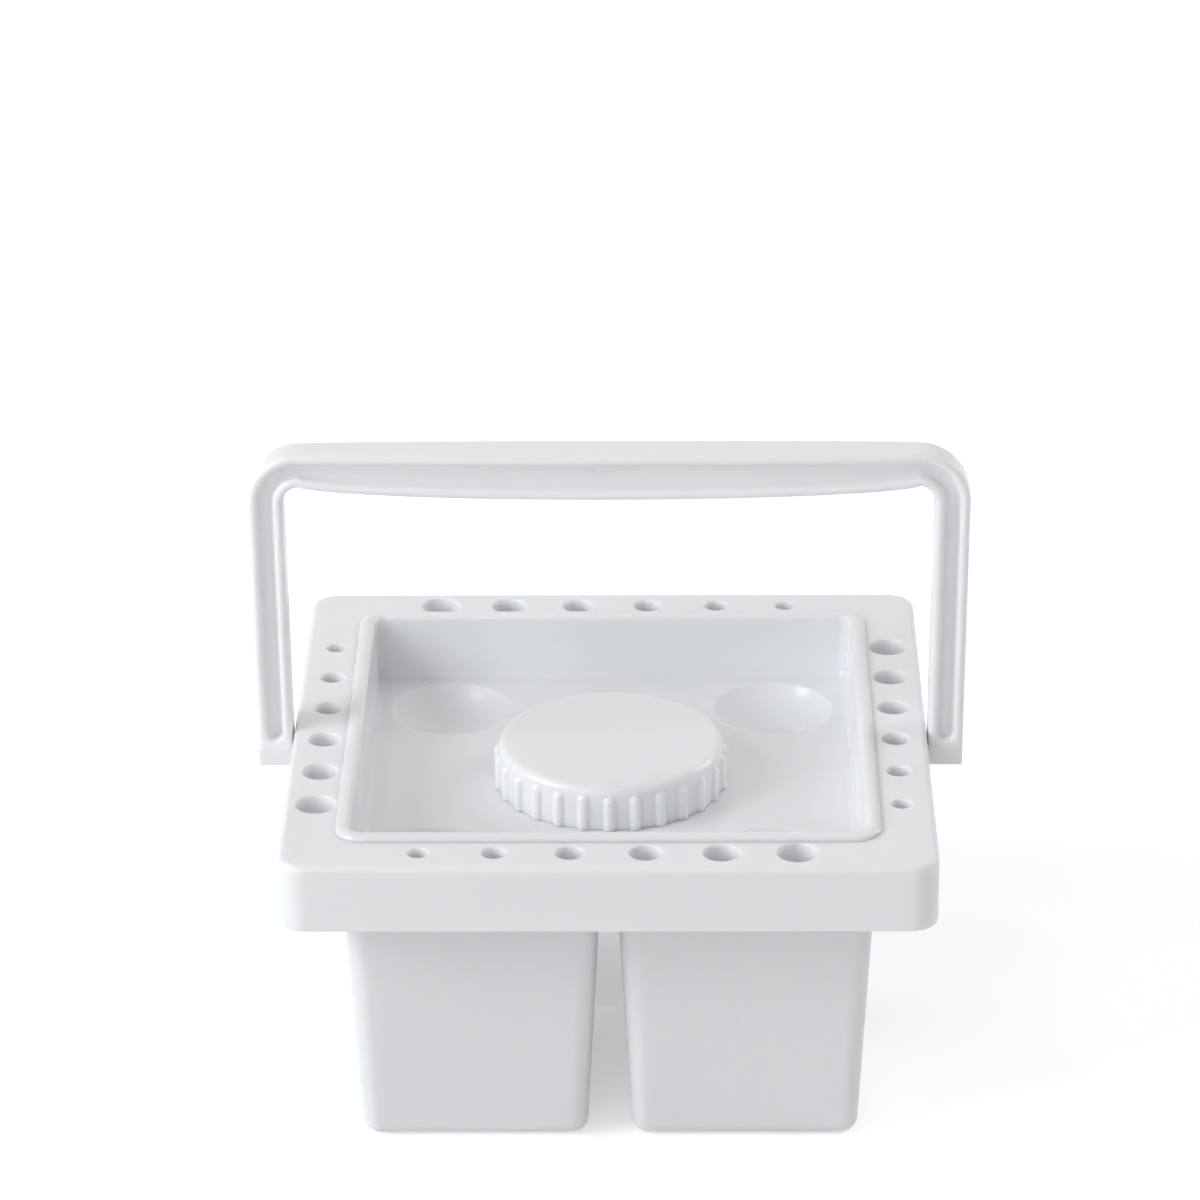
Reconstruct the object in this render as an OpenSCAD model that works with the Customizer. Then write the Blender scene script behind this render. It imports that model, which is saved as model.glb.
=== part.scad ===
// Square washer: four water tubs under one brim with a row of holes along each side, a drop-in
// palette lid with four wells and a screw-capped neck, and a swinging carrying handle.
// Millimetres, +Z up. The origin is in the middle of the plane that the tubs stand on.

/* [Brim and skirt] */
// Width and depth of the square brim
brim_w = 160; // [150:1:180]
// Height of the brim's top above the table
brim_h = 85; // [75:1:110]
// Thickness of the brim's top plate
brim_t = 2.2; // [1.8:0.1:3]
// Plan radius of the brim's corners
brim_corner_r = 7; // [6:0.5:12]
// Rounding of the brim's top outer edge
brim_edge_r = 1.6; // [1:0.1:4]
// Height of the skirt, down from the brim's top
skirt_h = 17.5; // [15:0.1:22]
// Wall thickness of the skirt
skirt_t = 2.2; // [1.8:0.1:2.6]

/* [Brim holes] */
// Holes in each side of the brim
holes_per_side = 6; // [3:1:7]
// Distance from hole to hole along a side
hole_pitch = 18.3; // [15:0.1:20]
// Distance of the holes' centres in from the brim's edge
hole_inset = 8; // [7.4:0.1:8.4]
// Diameter of each side's smallest hole
hole_d_min = 4.8; // [4:0.1:6]
// Diameter of each side's largest hole
hole_d_max = 9.6; // [8:0.1:10]
// Wall of the sleeve round each hole
sleeve_wall = 1.2; // [1:0.1:1.6]
// Length of the sleeves, down from the brim's top
sleeve_h = 12; // [8:0.5:14]
// Chamfer round the top of each hole
hole_chamfer = 0.4; // [0.2:0.1:0.6]

/* [Water tubs] */
// Distance between the centres of neighbouring tubs
tub_pitch = 67.2; // [66:0.2:68]
// Outer width of a tub at the level of the brim's top
tub_top_w = 65; // [62:0.5:65.5]
// Draft of the tubs' walls
tub_draft = 3; // [1:0.25:3.5]
// Wall thickness of the tubs
tub_wall = 1.8; // [1.4:0.1:2.4]
// Thickness of the tubs' floors
tub_floor_t = 2; // [1.5:0.1:3]
// Plan radius of the tubs' corners at the level of the brim's top
tub_corner_r = 8.3; // [8:0.1:12]
// Plan radius of the opening's corners
opening_corner_r = 4.8; // [4.4:0.1:6]
// Gap between the palette's floor and the crest of the dividers under it
crest_gap = 2; // [1:0.1:5]

/* [Palette lid] */
// Depth of the palette below the brim's top
palette_depth = 16; // [14:0.5:19]
// Wall thickness of the palette
palette_wall = 1.4; // [1.2:0.1:2]
// Thickness of the palette's floor
palette_floor_t = 1.5; // [1.2:0.1:2.2]
// Gap between the palette's wall and the opening, on each side
palette_fit = 0.3; // [0.2:0.05:0.8]
// Overlap of the lip on the brim
lip_overlap = 2.3; // [1.5:0.1:3]
// Height of the rounded lip above the brim
lip_h = 1.4; // [1:0.1:2.5]
// Fillet between the palette's wall and floor
palette_fillet_r = 2.2; // [1:0.1:2.4]
// Radius of a well at its rim
well_r = 15.6; // [12:0.2:16.5]
// Depth of a well
well_depth = 4.5; // [3:0.1:6]
// Distance of the wells' centres from the middle, along X and along Y
well_offset = 42; // [40:0.5:43]

/* [Neck and thread] */
// Outer radius of the neck
neck_r = 25.4; // [22:0.1:26]
// Wall thickness of the neck
neck_wall = 2.2; // [1.6:0.1:3]
// Rise of the thread in one turn
thread_pitch = 4; // [3.6:0.1:4.4]
// Height of the thread's ridge above its wall
thread_h = 1.1; // [0.9:0.05:1.3]
// Width of the ridge at its root
thread_root_w = 1.8; // [1.4:0.1:1.8]
// Width of the ridge at its crest
thread_crest_w = 0.9; // [0.6:0.1:1]
// Gap between a ridge's crest and the wall it faces
thread_gap = 0.4; // [0.3:0.05:0.6]
// Height of the lower end of the neck's ridge above the palette's floor
thread_start = 2.8; // [2.6:0.1:3]
// Angle that the neck's ridge goes round
neck_thread_angle = 360; // [270:10:360]
// Angle that the cap's ridge goes round
cap_thread_angle = 270; // [180:10:270]

/* [Screw cap] */
// Depth of the cap's top below the brim's top
cap_drop = 4.2; // [2:0.1:5]
// Wall thickness of the cap, without its ribs
cap_wall = 1.8; // [1.5:0.1:2.4]
// Thickness of the cap's top
cap_top_t = 2; // [1.5:0.1:2.6]
// Rounding of the cap's top edge
cap_edge_r = 2.2; // [1:0.1:3]
// Gap between the cap's lower edge and the palette's floor
cap_foot_gap = 0.4; // [0.3:0.05:0.6]
// Number of grip ribs
rib_count = 27; // [12:1:30]
// Radius of a grip rib
rib_r = 2.1; // [1.5:0.1:2.6]
// Height of the ribs above the cap's wall
rib_rise = 1; // [0.5:0.1:1.3]
// Thickness of the sealing disc in the cap
liner_t = 1.5; // [1:0.1:2]
// Gap round the sealing disc
liner_fit = 0.3; // [0.2:0.05:0.5]

/* [Handle] */
// Height of the bar's underside above the brim, at the bar's ends
handle_rise = 66.7; // [60:0.1:68]
// Width of a leg, from its inner to its outer face
leg_w = 8.8; // [7:0.1:11]
// Depth of the legs from front to back
handle_d = 9.4; // [8:0.1:10]
// Gap between the skirt and the legs' feet
leg_gap = 0.4; // [0.3:0.05:1.2]
// Distance that each leg leans out from its foot to its upper corner
leg_spread = 0.6; // [0:0.1:1]
// Inner radius of the handle's upper corners
handle_corner_r = 4.2; // [3:0.1:8]
// Drop of the bar's lower edge at mid-span
bar_belly = 3; // [0:0.1:4]
// Extra depth of the bar at mid-span
bar_swell = 2.4; // [0:0.1:3]
// Width of the front and back grooves in a leg
groove_w = 3.6; // [2.5:0.1:4]
// Depth of the grooves
groove_depth = 3.2; // [2:0.1:3.4]
// Height of the grooves' lower ends below the brim's top
groove_end_drop = 2.5; // [1:0.1:3.5]
// Height of the foot block's lower edge below the brim's top
foot_drop = 6.1; // [5:0.1:6.8]

/* [Handle pivot] */
// Depth of the pivot's axis below the brim's top
pivot_drop = 7.6; // [7:0.1:8.6]
// Radius of the pivot pins
pin_r = 3; // [2.5:0.1:3.2]
// Radial running clearance of the pins
pin_fit = 0.05; // [0.02:0.01:0.1]
// Radius of the round foot of each leg
hub_r = 3.8; // [3.4:0.1:4.6]
// Radius of the snap head on the end of each pin
head_r = 3.9; // [3.5:0.1:4.2]
// Thickness of the snap head
head_t = 1.2; // [1:0.1:1.6]
// Gap between the snap head and the skirt's inner face
head_gap = 0.3; // [0.2:0.05:0.5]

/* [Hidden] */
plastic = [0.94, 0.95, 0.95];
seal_white = [0.86, 0.88, 0.88];
// Overshoot that keeps a cut's faces clear of the faces it opens
over = 1;
// Small overlap of shapes that are joined or cut along a shared face
lap = 0.1;
// Grid that profile points are rounded to, so that turned and straight walls meet exactly
grid = 0.001;
// Steps in a quarter of a round edge
edge_steps = 6;
// Least plan radius that a fillet leaves at the bottom of a corner
least_corner_r = 0.05;
$fn = 96;

brim_half = brim_w / 2;
brim_axis = brim_half - brim_corner_r;
slope = tan(tub_draft);

tub_mid = tub_pitch / 2;
tub_axis = tub_top_w / 2 - tub_corner_r;
opening_half = tub_mid + tub_top_w / 2 - tub_wall;
opening_axis = opening_half - opening_corner_r;
palette_z = brim_h - palette_depth;
crest_z = palette_z - palette_floor_t - crest_gap;

neck_bore_r = neck_r - neck_wall;
cap_bore_r = neck_r + thread_h + thread_gap;
cap_r = cap_bore_r + cap_wall;
cap_top_z = brim_h - cap_drop;
cap_foot_z = palette_z + cap_foot_gap;
liner_top_z = cap_top_z - cap_top_t;
neck_top_z = liner_top_z - liner_t;
// Axial play of the closed cap's ridge under the neck's ridge
thread_play = 0.3;
ridge_step = thread_root_w / 2 + thread_crest_w / 2 + thread_play;
// Angle from the lower end of the neck's ridge to the lower end of the closed cap's ridge
cap_ridge_lead = 36;
// Depth by which a ridge's root is sunk into its wall
ridge_sunk = 0.3;
// Angle between the sections of a ridge, and the number of sections in which it fades out
ridge_step_angle = 10;
ridge_fade_steps = 2;
// Share of its full height that a ridge has at its very ends
ridge_end_share = 0.1;

leg_in = brim_half + leg_gap;
leg_axis = leg_in + leg_w / 2;
corner_axis = leg_axis + leg_spread;
bend_r = handle_corner_r + leg_w / 2;
bar_end = corner_axis - bend_r;
bar_z = brim_h + handle_rise + leg_w / 2;
pivot_z = brim_h - pivot_drop;
// Width of the round rims beside the grooves, the same on the legs and on the bar
rim_w = (leg_w - groove_w) / 2;
// Share of a groove's half width that each of its round inner corners takes
groove_round = 0.85;
// Distance that a groove's wall leans in from its mouth to its floor
groove_lean = 0.05;
// Power that shapes the bar's swelling from its ends to mid-span
swelling_power = 0.6;
// Steps in each rounded corner of the handle's section
section_steps = 3;
// The groove's side of each rim starts this many degrees past the rim's crest
rim_skip = 20;
// Overlap of the grooved part and the foot block, below the grooves' lower ends
foot_lap = 0.5;
// Steps round each upper corner of the handle and along its bar
bend_steps = 7;
bar_steps = 14;

// Points of an arc from angle a0 to a1 round a centre
function arc(centre, r, a0, a1, steps) =
    [for (i = [0:steps]) centre + r * [cos(a0 + (a1 - a0) * i / steps), sin(a0 + (a1 - a0) * i / steps)]];

// A block with a rounded square plan. The profile is a polygon in [distance out from the
// corner axes, height] that starts and ends at distance 0.
module rounded_block(axis, profile) {
    corner = [for (p = profile) [round(p[0] / grid) * grid, round(p[1] / grid) * grid]];
    across = concat([for (p = corner) [axis + p[0], p[1]]],
                    [for (i = [len(corner) - 1:-1:0]) [-axis - corner[i][0], corner[i][1]]]);
    for (turn = [0:90:270])
        rotate([0, 0, turn])
            translate([axis, axis, 0])
                rotate_extrude(angle = 90)
                    polygon(corner);
    for (turn = [0, 90])
        rotate([90, 0, turn])
            linear_extrude(height = 2 * axis, center = true)
                polygon(across);
}

// Profile of a straight wall with a plain top and bottom
function plain_profile(r, z0, z1) = [[0, z0], [r, z0], [r, z1], [0, z1]];

// Profile of a drafted wall: radius r at the brim's top, and a lower edge that is rounded
// where edge is more than 0
function drafted_profile(r, z0, z1, edge) =
    let (low_r = r - slope * (brim_h - z0 - edge),
         e = min(edge, low_r - least_corner_r))
    concat([[0, z0]],
           edge > 0 ? arc([low_r - e, z0 + e], e, -90, 0, edge_steps) : [[low_r, z0]],
           [[r - slope * (brim_h - z1), z1], [0, z1]]);

module at_each_tub() {
    for (sx = [-1, 1], sy = [-1, 1])
        translate([sx * tub_mid, sy * tub_mid, 0])
            children();
}

// Places its child at a hole of the brim. Sizes grow the same way round on all four sides.
function hole_d(i) = hole_d_min + (hole_d_max - hole_d_min) * i / (holes_per_side - 1);
function hole_x(i) = (i - (holes_per_side - 1) / 2) * hole_pitch;
module at_hole(side, i) {
    rotate([0, 0, 90 * side])
        translate([hole_x(i), hole_inset - brim_half, 0])
            children();
}

module brim_and_skirt() {
    edge = arc([brim_corner_r - brim_edge_r, brim_h - brim_edge_r], brim_edge_r, 0, 90, edge_steps);
    difference() {
        rounded_block(brim_axis,
            concat([[0, brim_h - skirt_h], [brim_corner_r, brim_h - skirt_h]], edge, [[0, brim_h]]));
        rounded_block(brim_axis,
            plain_profile(brim_corner_r - skirt_t, brim_h - skirt_h - over, brim_h - brim_t));
    }
}

module sleeves() {
    for (side = [0:3], i = [0:holes_per_side - 1])
        at_hole(side, i)
            translate([0, 0, brim_h - sleeve_h])
                cylinder(h = sleeve_h - brim_t / 2, r = hole_d(i) / 2 + sleeve_wall);
}

module brim_holes() {
    for (side = [0:3], i = [0:holes_per_side - 1])
        at_hole(side, i) {
            translate([0, 0, brim_h - sleeve_h - over])
                cylinder(h = sleeve_h + 2 * over, r = hole_d(i) / 2);
            translate([0, 0, brim_h - hole_chamfer])
                cylinder(h = 2 * hole_chamfer, r1 = hole_d(i) / 2, r2 = hole_d(i) / 2 + 2 * hole_chamfer);
        }
}

// Turns its child so that +Z points out of the side given by sx, at the pivot
module at_pivot(sx, x) {
    translate([sx * x, 0, pivot_z])
        rotate([0, sx * 90, 0])
            children();
}

module tub() {
    color(plastic)
    difference() {
        union() {
            brim_and_skirt();
            rounded_block(tub_mid + tub_axis,
                drafted_profile(tub_corner_r, crest_z - tub_wall, brim_h - brim_t / 2, 0));
            at_each_tub()
                rounded_block(tub_axis,
                    drafted_profile(tub_corner_r, 0, brim_h - brim_t / 2, tub_corner_r));
            sleeves();
        }
        rounded_block(opening_axis, drafted_profile(opening_corner_r, crest_z, brim_h + over, 0));
        at_each_tub()
            rounded_block(tub_axis,
                drafted_profile(tub_corner_r - tub_wall, tub_floor_t, crest_z + over, tub_corner_r));
        brim_holes();
        for (sx = [-1, 1])
            at_pivot(sx, brim_half - skirt_t - over)
                cylinder(h = skirt_t + 2 * over, r = pin_r + pin_fit);
    }
}

// A thread ridge round the Z axis, from angle a0, on a wall of radius r. It stands out of the
// wall where out is 1 and into the bore where out is -1, and runs out to nothing at its ends.
module thread_ridge(r, a0, sweep, z0, out) {
    steps = round(sweep / ridge_step_angle);
    rings = [for (i = [0:steps])
        let (a = a0 + sweep * i / steps,
             z = z0 + thread_pitch * (a / 360),
             k = min(1, ridge_end_share + min(i, steps - i) / ridge_fade_steps),
             root = r - out * ridge_sunk,
             crest = r + out * thread_h * k)
        each [for (p = [[root, -thread_root_w / 2], [crest, -thread_crest_w / 2],
                        [crest, thread_crest_w / 2], [root, thread_root_w / 2]])
            [p[0] * cos(a), p[0] * sin(a), z + p[1]]]];
    sides = [for (i = [0:steps - 1], j = [0:3])
        let (p = 4 * i + j, q = 4 * i + (j + 1) % 4)
        each (out > 0 ? [[p, q, q + 4], [p, q + 4, p + 4]] : [[p, q + 4, q], [p, p + 4, q + 4]])];
    ends = out > 0 ? [[3, 2, 1, 0], [4 * steps, 4 * steps + 1, 4 * steps + 2, 4 * steps + 3]]
                   : [[0, 1, 2, 3], [4 * steps + 3, 4 * steps + 2, 4 * steps + 1, 4 * steps]];
    polyhedron(points = rings, faces = concat(sides, ends), convexity = 4);
}

// The bowl of a well: a cap of a sphere up to top_z, grown by the floor's thickness for its
// underside. The sphere is turned so that its poles lie outside the bowl.
module well_bowl(grow, top_z) {
    ball_r = (well_r * well_r + well_depth * well_depth) / (2 * well_depth);
    intersection() {
        translate([0, 0, palette_z - well_depth + ball_r])
            rotate([90, 0, 0])
                sphere(r = ball_r + grow);
        translate([0, 0, top_z - ball_r])
            cylinder(h = ball_r, r = well_r + over);
    }
}

module at_each_well() {
    for (sx = [-1, 1], sy = [-1, 1])
        translate([sx * well_offset, sy * well_offset, 0])
            children();
}

module palette_lid() {
    outer_r = opening_corner_r - palette_fit;
    inner_r = outer_r - palette_wall;
    lip_out = opening_corner_r + lip_overlap;
    lip_mid = (inner_r + lip_out) / 2;
    lip_half = (lip_out - inner_r) / 2;
    low_z = palette_z - palette_floor_t;
    outer = concat([for (p = drafted_profile(outer_r, low_z, brim_h, palette_fillet_r + palette_wall))
                        if (p[0] > 0 || p[1] < brim_h) p],
                   [for (a = [0:15:90]) [lip_mid + lip_half * cos(a), brim_h + lip_h * sin(a)]],
                   [[0, brim_h + lip_h]]);
    inner = concat([for (p = drafted_profile(inner_r, palette_z, brim_h, palette_fillet_r))
                        if (p[0] > 0 || p[1] < brim_h) p],
                   [for (a = [165:-15:90]) [lip_mid + lip_half * cos(a), brim_h + lip_h * sin(a)]],
                   [[lip_mid, brim_h + lip_h + over], [0, brim_h + lip_h + over]]);
    color(plastic) {
        difference() {
            union() {
                difference() {
                    rounded_block(opening_axis, outer);
                    rounded_block(opening_axis, inner);
                }
                at_each_well()
                    well_bowl(palette_floor_t, low_z + lap);
                translate([0, 0, low_z])
                    cylinder(h = neck_top_z - low_z, r = neck_r);
            }
            at_each_well()
                well_bowl(0, palette_z + lap);
            translate([0, 0, low_z - over])
                cylinder(h = neck_top_z - low_z + 2 * over, r = neck_bore_r);
        }
        thread_ridge(neck_r, 0, neck_thread_angle, palette_z + thread_start, 1);
    }
}

// The grip ribs, cut off by a slope that meets the cap's wall under its rounded edge
module grip_ribs() {
    shoulder_z = cap_top_z - cap_edge_r;
    reach_r = cap_r + rib_rise + lap;
    intersection() {
        translate([0, 0, cap_foot_z])
            linear_extrude(height = shoulder_z - cap_foot_z)
                for (i = [0:rib_count - 1])
                    rotate(-90 + 360 * i / rib_count)
                        translate([cap_r + rib_rise - rib_r, 0])
                            circle(r = rib_r);
        rotate_extrude()
            polygon([[cap_r - rib_r, cap_foot_z - over], [reach_r, cap_foot_z - over],
                     [reach_r, shoulder_z - rib_r], [cap_r, shoulder_z - lap],
                     [cap_r - rib_r, shoulder_z - lap]]);
    }
}

module screw_cap() {
    shell = concat([[0, cap_foot_z], [cap_r, cap_foot_z]],
                   arc([cap_r - cap_edge_r, cap_top_z - cap_edge_r], cap_edge_r, 0, 90, edge_steps),
                   [[0, cap_top_z]]);
    color(plastic) {
        difference() {
            union() {
                rotate_extrude()
                    polygon(shell);
                grip_ribs();
            }
            translate([0, 0, cap_foot_z - over])
                cylinder(h = liner_top_z - cap_foot_z + over, r = cap_bore_r);
        }
        thread_ridge(cap_bore_r, cap_ridge_lead, cap_thread_angle,
                     palette_z + thread_start - ridge_step, -1);
    }
}

module cap_liner() {
    color(seal_white)
        translate([0, 0, neck_top_z])
            cylinder(h = liner_t, r = cap_bore_r - liner_fit);
}

// Back half of the handle's section, as [across, depth] from its middle, from the left to the
// right: over a round rim, down into the groove, and over the other rim
function half_section(w, d) =
    let (h = w / 2, b = d / 2, tip = rim_w / 2, g = h - rim_w - groove_lean,
         c = min(groove_round * g, groove_depth - tip - lap), deep = b - groove_depth + c)
    concat(arc([tip - h, b - tip], tip, 180, 90, section_steps),
           arc([tip - h, b - tip], tip, 90 - rim_skip, 0, section_steps),
           arc([c - g, deep], c, 180, 270, section_steps),
           arc([g - c, deep], c, 270, 360, section_steps),
           arc([h - tip, b - tip], tip, 180, 90 + rim_skip, section_steps),
           arc([h - tip, b - tip], tip, 90, 0, section_steps));

// Back half of the outline of the same section with no groove
function half_outline(w, d) =
    let (h = w / 2, b = d / 2, tip = rim_w / 2)
    concat(arc([tip - h, b - tip], tip, 180, 90, section_steps),
           arc([h - tip, b - tip], tip, 90, 0, section_steps));

// A half section from the left to the right, and its mirror image back to the left
function both_halves(half) =
    concat(half, [for (i = [len(half) - 1:-1:0]) [half[i][0], -half[i][1]]]);

// Stations along the handle: [x, z, outward x, outward z, share of the bar's swelling]
function handle_stations() =
    let (foot = brim_h - groove_end_drop - foot_lap)
    concat([[-leg_axis, foot, -1, 0, 0]],
           [for (p = [0:bend_steps]) let (a = 180 - 90 * p / bend_steps)
               [bend_r * cos(a) - bar_end, bar_z - bend_r + bend_r * sin(a), cos(a), sin(a), 0]],
           [for (p = [1:bar_steps - 1]) let (t = 2 * p / bar_steps - 1)
               [bar_end * t, bar_z, 0, 1, pow(1 - t * t, swelling_power)]],
           [for (p = [0:bend_steps]) let (a = 90 - 90 * p / bend_steps)
               [bend_r * cos(a) + bar_end, bar_z - bend_r + bend_r * sin(a), cos(a), sin(a), 0]],
           [[leg_axis, foot, 1, 0, 0]]);

// The legs and the bar in one: a bar with a groove along its front and its back
module grooved_bar() {
    stations = handle_stations();
    last = len(stations) - 1;
    n = len(both_halves(half_section(leg_w, handle_d)));
    points = [for (s = stations)
        let (grow = s[4] * bar_belly)
        each [for (p = both_halves(half_section(leg_w + grow, handle_d + s[4] * bar_swell)))
            let (out = p[0] - grow / 2)
            [s[0] + out * s[2], p[1], s[1] + out * s[3]]]];
    sides = [for (i = [0:last - 1], j = [0:n - 1])
        let (p = i * n + j, q = i * n + (j + 1) % n)
        each [[p, q + n, q], [p, p + n, q + n]]];
    near_end = [for (j = [0:n / 2 - 2])
        each [[j, j + 1, n - 1 - j], [j + 1, n - 2 - j, n - 1 - j]]];
    far_end = [for (face = near_end) [for (k = [2:-1:0]) face[k] + last * n]];
    polyhedron(points = points, faces = concat(near_end, far_end, sides), convexity = 6);
}

module handle() {
    pin_tip = brim_half - skirt_t - head_gap - head_t;
    color(plastic) {
        grooved_bar();
        for (sx = [-1, 1]) {
            translate([sx * leg_axis, 0, brim_h - foot_drop])
                linear_extrude(height = foot_drop - groove_end_drop)
                    polygon(both_halves(half_outline(leg_w, handle_d)));
            at_pivot(sx, leg_in)
                cylinder(h = leg_w, r = hub_r);
            at_pivot(sx, pin_tip)
                cylinder(h = leg_in - pin_tip + over, r = pin_r);
            at_pivot(sx, pin_tip)
                cylinder(h = head_t, r1 = pin_r, r2 = head_r);
        }
    }
}

tub();
palette_lid();
screw_cap();
cap_liner();
handle();
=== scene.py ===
# %% [markdown]
# # A square washer with a palette lid, in white moulded plastic
#
# The object is a set of injection mouldings: a brim over four water tubs, a palette that drops
# into the brim, a screw cap on the palette's neck, and a carrying handle. The CAD model has
# their true sizes, but its round edges are made of a few flats. Each moulding is built again
# here from the same sizes with fine, smooth edges, and takes the CAD part's place.

import math
from functools import partial

import bmesh
import bpy
from mathutils import Matrix, Vector


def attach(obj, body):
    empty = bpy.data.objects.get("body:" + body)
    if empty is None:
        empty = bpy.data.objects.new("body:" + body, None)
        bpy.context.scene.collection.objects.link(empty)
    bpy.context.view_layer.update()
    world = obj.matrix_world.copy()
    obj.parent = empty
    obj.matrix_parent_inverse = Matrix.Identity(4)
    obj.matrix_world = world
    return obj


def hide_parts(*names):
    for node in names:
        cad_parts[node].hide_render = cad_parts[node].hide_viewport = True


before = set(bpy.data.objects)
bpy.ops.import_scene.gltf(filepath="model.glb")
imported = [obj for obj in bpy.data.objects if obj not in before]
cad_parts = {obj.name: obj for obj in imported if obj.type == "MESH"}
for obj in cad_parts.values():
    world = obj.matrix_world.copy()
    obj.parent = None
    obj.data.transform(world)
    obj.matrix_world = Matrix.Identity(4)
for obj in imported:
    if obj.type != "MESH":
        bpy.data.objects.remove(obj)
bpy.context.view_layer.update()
print("nodes:", sorted(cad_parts))

# %% [markdown]
# ## Sizes
#
# All sizes are written in millimetres, as on a drawing, and are turned into metres when a mesh
# is made. Heights are above the table, and the Z axis runs up through the middle of the cap.
# Each step starts with its own sizes. Only the few that all the steps share stand here.

# %% Units, draft and the brim's top
MM = 0.001
draft = math.tan(math.radians(3))
brim_top = 85
proud = 0.004
print(f"a drafted wall leans {draft * 10:.2f} mm in 10 mm, and a cut ends {proud} mm proud")

# %% [markdown]
# ## Small tools for closed bodies
#
# A moulding is a closed body with an even wall, so each mesh here is made as a good solid too.
# Cubes with bevels would be quicker to model, but a bevel fails where drafted walls and small
# fillets meet. So two ways of building cover nearly all of it. A *loft* stacks closed loops of
# points, each with the same number of points, and joins each loop to the next. A *turned* body
# spins a profile round an upright axis. These bodies are then joined and cut with Booleans.
# A cutting body ends a hair above the face it opens into, so that no two faces lie together.

# %% Loft: closed loops of points, stacked
def show(mesh, name):
    """A new object in the scene for this mesh."""
    piece = bpy.data.objects.new(name, mesh)
    bpy.context.scene.collection.objects.link(piece)
    return piece


def loft(name, loops, strips=False):
    """A closed body through loops of points in millimetres. Its two ends are flat faces, or
    strips from side to side where strips is set."""
    shape = bmesh.new()
    rows = [[shape.verts.new(Vector(point) * MM) for point in loop] for loop in loops]
    count = len(rows[0])
    for low, high in zip(rows, rows[1:]):
        for i in range(count):
            k = (i + 1) % count
            shape.faces.new((low[i], low[k], high[k], high[i]))
    for row, turned_over in ((rows[0], True), (rows[-1], False)):
        ends = [tuple(row)]
        if strips:
            ends = [(row[i], row[i + 1], row[count - 2 - i], row[count - 1 - i])
                    for i in range(count // 2 - 1)]
        for face in ends:
            shape.faces.new(face[::-1] if turned_over else face)
    bmesh.ops.recalc_face_normals(shape, faces=shape.faces)
    mesh = bpy.data.meshes.new(name)
    shape.to_mesh(mesh)
    shape.free()
    return show(mesh, name)


# %% Loops with a rounded square outline
corner_steps = 12
side_steps = 10


def turned(x, y, angle):
    """The point (x, y), turned about the middle."""
    return (x * math.cos(angle) - y * math.sin(angle), x * math.sin(angle) + y * math.cos(angle))


def square_loop(half, radius, z, centre=(0, 0)):
    """A rounded square seen from above, at height z. It reaches half to each side of its
    centre."""
    axis = half - radius
    points = []
    for corner in range(4):
        start = math.pi / 2 * corner
        for step in range(corner_steps + 1):
            angle = math.pi / 2 * step / corner_steps
            points.append(turned(axis + radius * math.cos(angle),
                                 axis + radius * math.sin(angle), start))
        for step in range(1, side_steps):
            points.append(turned(axis - 2 * axis * step / side_steps, half, start))
    return [(centre[0] + x, centre[1] + y, z) for x, y in points]


def arc(x, z, radius, start, end, steps=8):
    """Points on an arc in a profile, with its angles in degrees."""
    angles = [math.radians(start + (end - start) * i / steps) for i in range(steps + 1)]
    return [(x + radius * math.cos(a), z + radius * math.sin(a)) for a in angles]


print("points in a rounded square:", len(square_loop(2, 1, 0)))


# %% Turn a profile round an upright axis
def round_loop(radius, z, sides, centre=(0, 0)):
    return [(centre[0] + radius * math.cos(math.tau * i / sides),
             centre[1] + radius * math.sin(math.tau * i / sides), z) for i in range(sides)]


def turn_body(name, profile, sides=192, centre=(0, 0)):
    """A closed body of revolution. The profile is a list of (radius, height) from the bottom
    to the top, and its ends are closed with flat discs."""
    return loft(name, [round_loop(r, z, sides, centre) for r, z in profile])


# %% Join and cut bodies
def settle(piece):
    """Applies the modifiers of a piece, so that it is a plain mesh again."""
    graph = bpy.context.evaluated_depsgraph_get()
    graph.update()
    mesh = bpy.data.meshes.new_from_object(piece.evaluated_get(graph))
    piece.modifiers.clear()
    piece.data = mesh
    return piece


def combine(piece, tools, operation):
    """Joins the tools to the piece, or cuts them out of it, and removes them."""
    for tool in tools:
        boolean = piece.modifiers.new("boolean", "BOOLEAN")
        boolean.solver = "MANIFOLD"
        boolean.operation = operation
        boolean.object = tool
    settle(piece)
    for tool in tools:
        bpy.data.objects.remove(tool)
    return piece


def paint(piece, material):
    """Gives a piece this one material."""
    piece.data.materials.clear()
    piece.data.materials.append(material)


def solid_facts(piece):
    """Faces, edges that aren't shared by two faces, and the volume in cubic centimetres."""
    shape = bmesh.new()
    shape.from_mesh(piece.data)
    loose = sum(1 for edge in shape.edges if len(edge.link_faces) != 2)
    volume = shape.calc_volume(signed=True) * 1e6
    count = len(shape.faces)
    shape.free()
    return f"{piece.name}: {count} faces, {loose} open edges, {volume:.2f} cm3"


# %% [markdown]
# ## Shading a moulded surface
#
# A moulding has large flat faces that run into small round edges. Plain smooth shading would
# bend the light across the whole flat face. So the edges sharper than 35 degrees are marked
# sharp, and the other normals are weighted by the size of the faces: a flat face stays flat.

# %% Smooth round edges, flat faces
crease_angle = math.radians(35)
weld_distance = 0.002 * MM


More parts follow.
